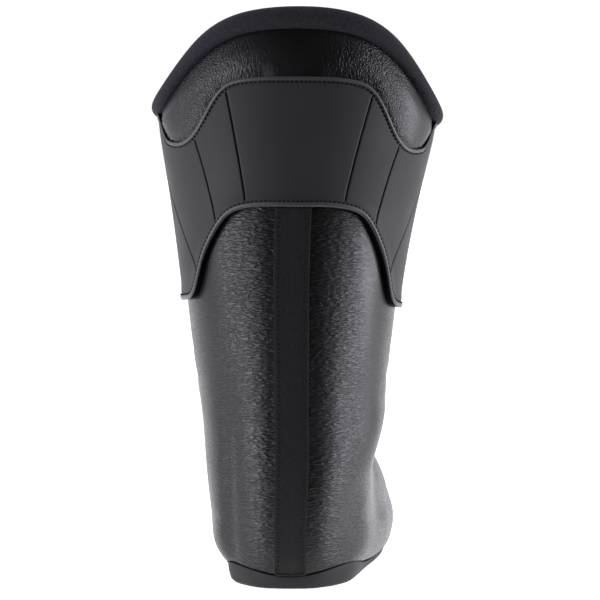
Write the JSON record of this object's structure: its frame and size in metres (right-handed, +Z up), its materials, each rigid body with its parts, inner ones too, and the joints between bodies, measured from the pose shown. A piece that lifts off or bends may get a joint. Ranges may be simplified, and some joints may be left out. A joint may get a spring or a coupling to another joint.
{
  "type": "ski boot liner",
  "caption": "Padded removable liner of a ski boot for the right foot: tall hollow shaft with a raised back collar, embossed cuff overlay, tongue, footbed and wrapped sole.",
  "frame": {"origin": "on the floor under the middle of the heel, on the flat underside of the sole", "axes": "+Z up along the shaft, +Y towards the toe, +X towards the outer side of the right foot"},
  "size_m": [0.1625, 0.2846, 0.3105],
  "materials": {
    "liner_leather": "pebble grain with a satin gloss",
    "sole_skin": "smooth and matt",
    "footbed_felt": "felt",
    "cuff_skin": "smooth and matt, embossed",
    "woven_tape": "twill weave",
    "collar_knit": "fine brushed knit"
  },
  "bodies": {
    "root": {"upper": "liner_leather", "sole": "sole_skin", "insole": "footbed_felt", "tongue": "liner_leather", "cuff_panel": "cuff_skin", "back_strip": "woven_tape", "collar_binding": "collar_knit"}
  },
  "joints": []
}
